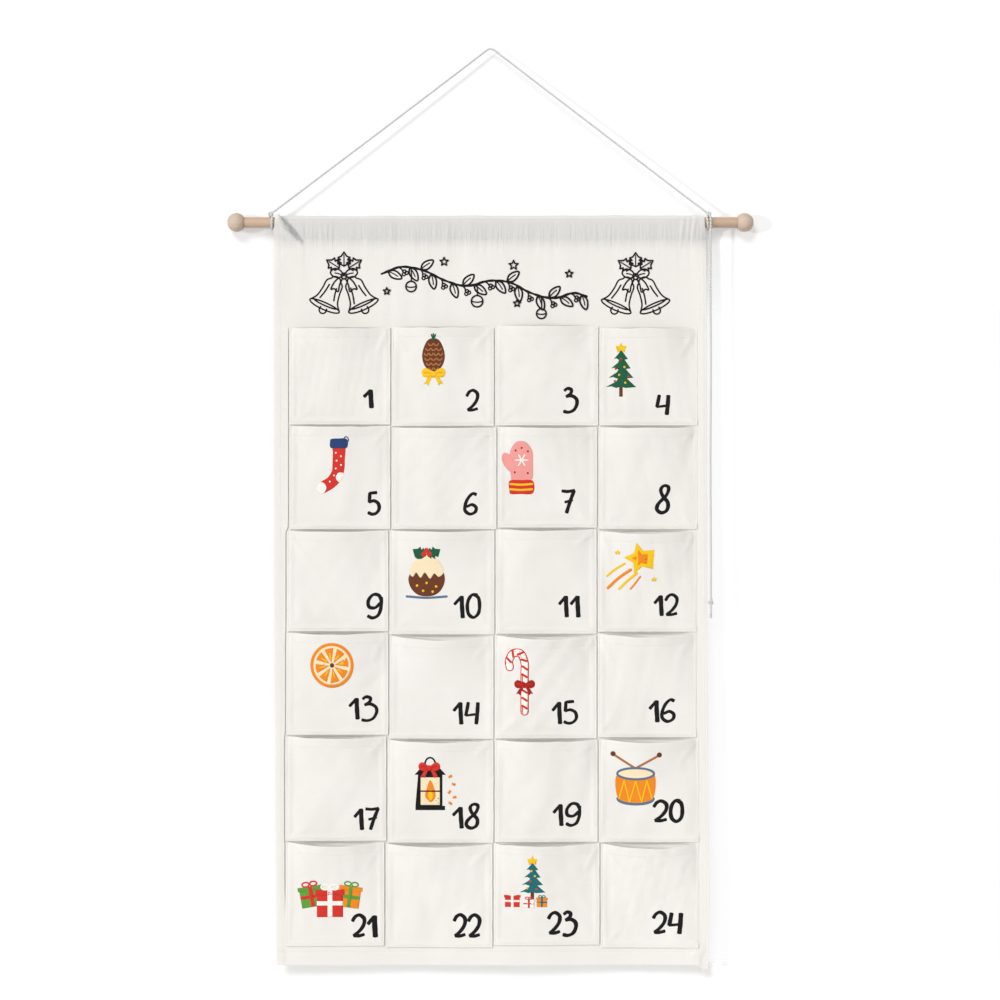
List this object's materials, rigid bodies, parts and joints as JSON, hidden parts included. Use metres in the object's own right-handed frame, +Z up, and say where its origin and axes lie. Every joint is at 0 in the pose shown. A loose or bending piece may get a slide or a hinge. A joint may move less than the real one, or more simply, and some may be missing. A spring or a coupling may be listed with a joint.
{
  "type": "fabric advent calendar",
  "caption": "Hanging canvas countdown calendar: a cloth panel with numbered patch pockets, sewn round a wooden dowel with ball ends and hung by a knotted cord over one nail.",
  "frame": {"origin": "where the cord bears on the wall nail, at the underside of its bend over the nail", "axes": "+Z up; the pockets face -Y and the wall is at +Y; +X to the right of someone who looks at the pockets"},
  "size_m": [0.6066, 0.0279, 1.0572],
  "materials": {
    "canvas": "off-white cotton canvas, plain weave, matt",
    "pocket_canvas": "off-white cotton canvas with printed numbers and ornaments, matt",
    "beech": "fine sanded beech, unvarnished",
    "cotton_cord": "twisted two-strand cotton cord, whitish grey"
  },
  "bodies": {
    "cord": {"cord_span": "cotton_cord", "cord_loop_left": "cotton_cord", "cord_loop_right": "cotton_cord", "cord_knot_left": "cotton_cord", "cord_knot_right": "cotton_cord", "cord_tail": "cotton_cord", "cord_tail_knot": "cotton_cord", "cord_tail_tip": "cotton_cord"},
    "rod": {"dowel": "beech", "finial_left": "beech", "finial_right": "beech"},
    "cloth": {"back_panel": "canvas", "rod_sleeve": "canvas", "pocket_01": "pocket_canvas", "pocket_02": "pocket_canvas", "pocket_03": "pocket_canvas", "pocket_04": "pocket_canvas", "pocket_05": "pocket_canvas", "pocket_06": "pocket_canvas", "pocket_07": "pocket_canvas", "pocket_08": "pocket_canvas", "pocket_09": "pocket_canvas", "pocket_10": "pocket_canvas", "pocket_11": "pocket_canvas", "pocket_12": "pocket_canvas", "pocket_13": "pocket_canvas", "pocket_14": "pocket_canvas", "pocket_15": "pocket_canvas", "pocket_16": "pocket_canvas", "pocket_17": "pocket_canvas", "pocket_18": "pocket_canvas", "pocket_19": "pocket_canvas", "pocket_20": "pocket_canvas", "pocket_21": "pocket_canvas", "pocket_22": "pocket_canvas", "pocket_23": "pocket_canvas", "pocket_24": "pocket_canvas"}
  },
  "joints": [
    {"name": "rod_spin", "type": "hinge", "parent": "cord", "child": "rod", "pos_m": [0, 0, -0.1987], "axis": [1, 0, 0], "continuous": true},
    {"name": "cloth_swing", "type": "hinge", "parent": "cord", "child": "cloth", "pos_m": [0, 0, -0.1987], "axis": [-1, 0, 0], "range_deg": [-90, 90]}
  ]
}
